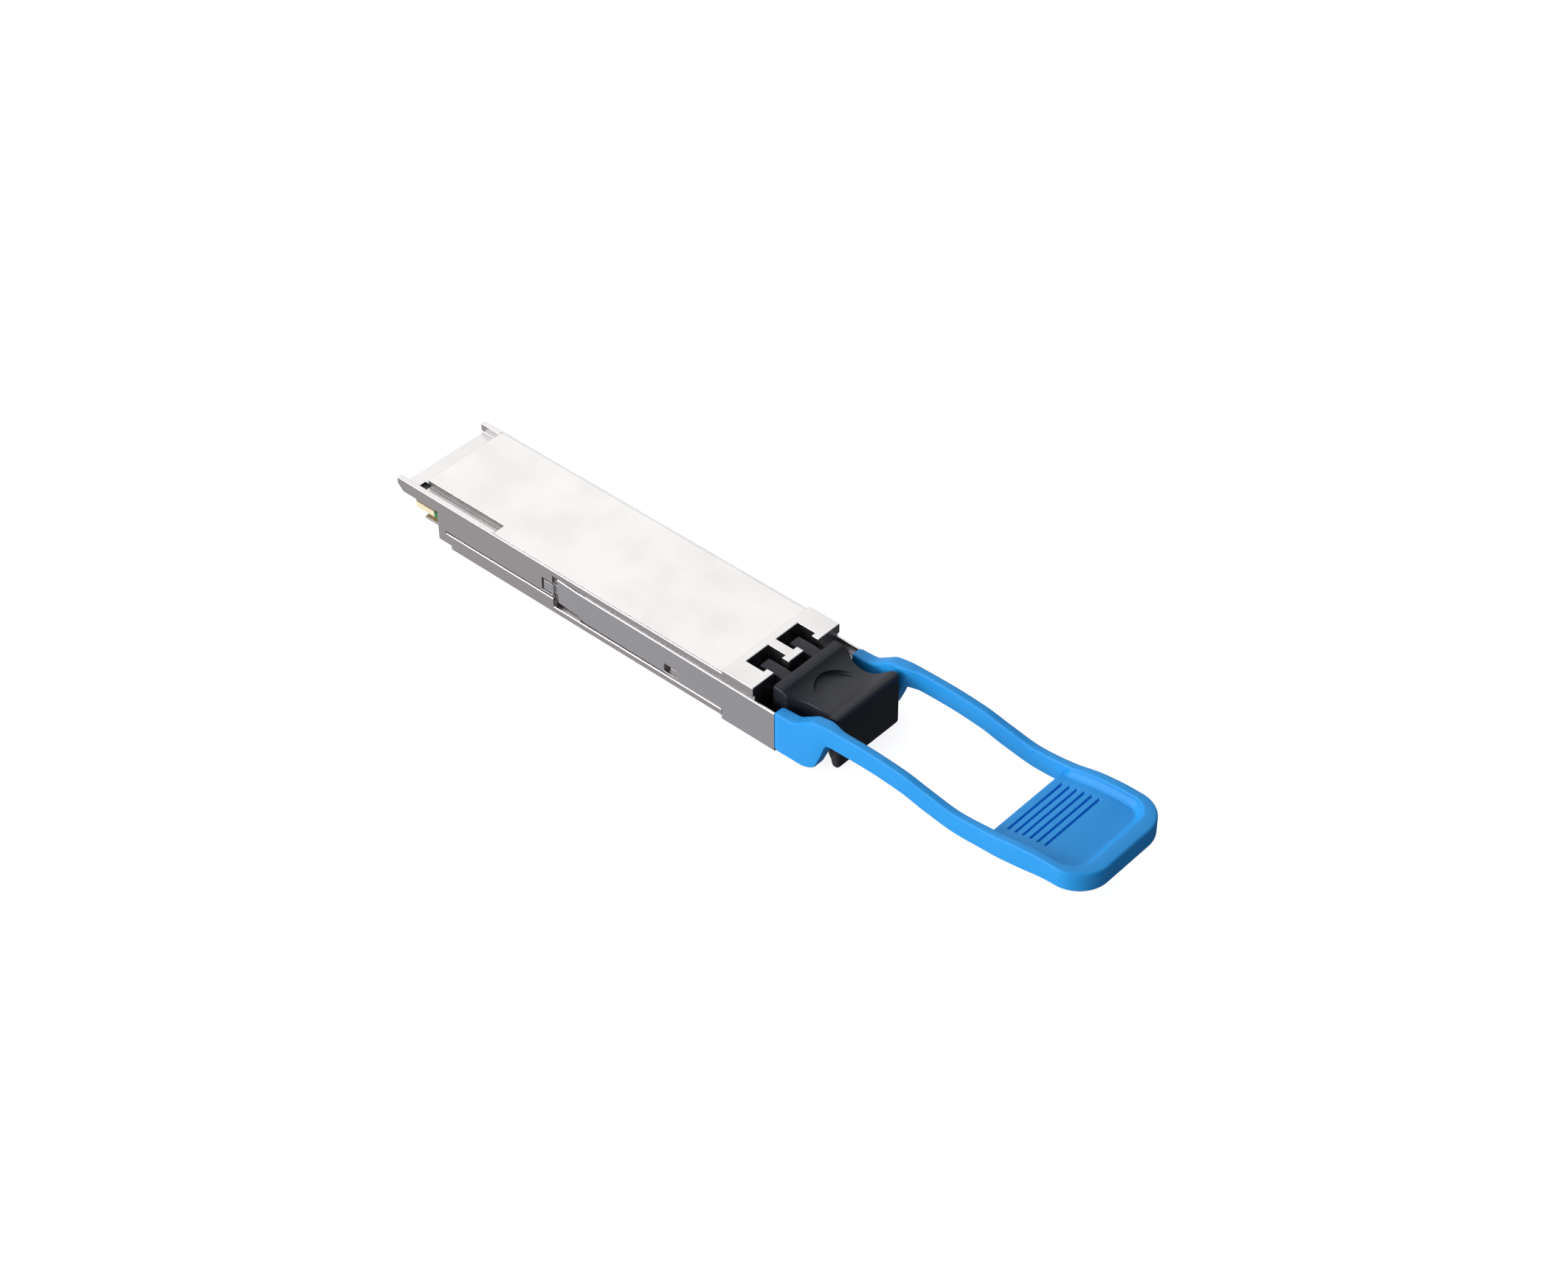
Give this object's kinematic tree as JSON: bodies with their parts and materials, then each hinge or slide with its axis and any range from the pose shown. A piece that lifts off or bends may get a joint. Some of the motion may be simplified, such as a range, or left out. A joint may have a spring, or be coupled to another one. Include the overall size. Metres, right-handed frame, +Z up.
{
  "type": "optical transceiver module",
  "caption": "Slim metal pluggable optical transceiver with a duplex fibre nose, card-edge contacts, side-arm latch, blue pull tab and black dust plug.",
  "frame": {"origin": "bottom centre of the whole object's box: mid-length, mid-width, at the underside of the latch bridge", "axes": "+X along the module from the card edge to the pull tab, +Z up towards the flat cover, +Y completes the right-handed frame"},
  "size_m": [0.1298, 0.0188, 0.0105],
  "materials": {
    "cast_shell": "bright nickel-plated zinc casting, satin",
    "plated_cover": "fine bead-blasted nickel plate",
    "latch_steel": "plain stainless sheet",
    "tab_plastic": "soft-touch moulded elastomer, satin",
    "plug_rubber": "satin black rubber",
    "board_laminate": "green solder mask over cream laminate",
    "contact_gold": "hard gold plating",
    "chip_black": "moulded epoxy",
    "can_metal": "nickel-plated lid",
    "ferrite_grey": "ferrite",
    "ceramic_tan": "ceramic with tinned ends",
    "pad_silicone": "soft silicone pad",
    "package_gold": "gold-plated alloy case",
    "receptacle_steel": "turned stainless steel",
    "zirconia": "polished zirconia ceramic",
    "flex_film": "polyimide film with copper tracks",
    "gasket_foam": "conductive foam",
    "screw_steel": "zinc-plated steel",
    "spring_steel": "music wire"
  },
  "bodies": {
    "housing": {"lower_shell": "cast_shell", "upper_shell": "cast_shell", "top_cover": "plated_cover", "circuit_board": "board_laminate", "contact_fingers_top": "contact_gold", "contact_fingers_bottom": "contact_gold", "signal_processor": "chip_black", "microcontroller": "chip_black", "memory_chip": "chip_black", "crystal_oscillator": "can_metal", "laser_driver": "chip_black", "limiting_amplifier": "chip_black", "power_regulator": "chip_black", "power_inductors": "ferrite_grey", "capacitors": "ceramic_tan", "resistors": "chip_black", "processor_thermal_pad": "pad_silicone", "receiver_package": "package_gold", "transmitter_package": "package_gold", "receiver_receptacle": "receptacle_steel", "transmitter_receptacle": "receptacle_steel", "receiver_split_sleeve": "zirconia", "transmitter_split_sleeve": "zirconia", "receiver_ferrule_stub": "zirconia", "transmitter_ferrule_stub": "zirconia", "receiver_flex": "flex_film", "transmitter_flex": "flex_film", "receiver_thermal_pad": "pad_silicone", "transmitter_thermal_pad": "pad_silicone", "shield_gasket": "gasket_foam", "shell_screws": "screw_steel", "return_spring_left": "spring_steel", "return_spring_right": "spring_steel"},
    "latch": {"latch_slider": "latch_steel", "pull_tab": "tab_plastic"},
    "plug": {"dust_plug": "plug_rubber"}
  },
  "joints": [
    {"name": "latch_slide", "type": "slide", "parent": "housing", "child": "latch", "axis": [1, 0, 0], "range_m": [0, 0.0012], "stiffness_N_per_m": 400, "springref_m": -0.003, "deforming": ["return_spring_left", "return_spring_right"]},
    {"name": "dust_plug_pull", "type": "slide", "parent": "housing", "child": "plug", "axis": [1, 0, 0], "range_m": [0, 0.016]}
  ]
}
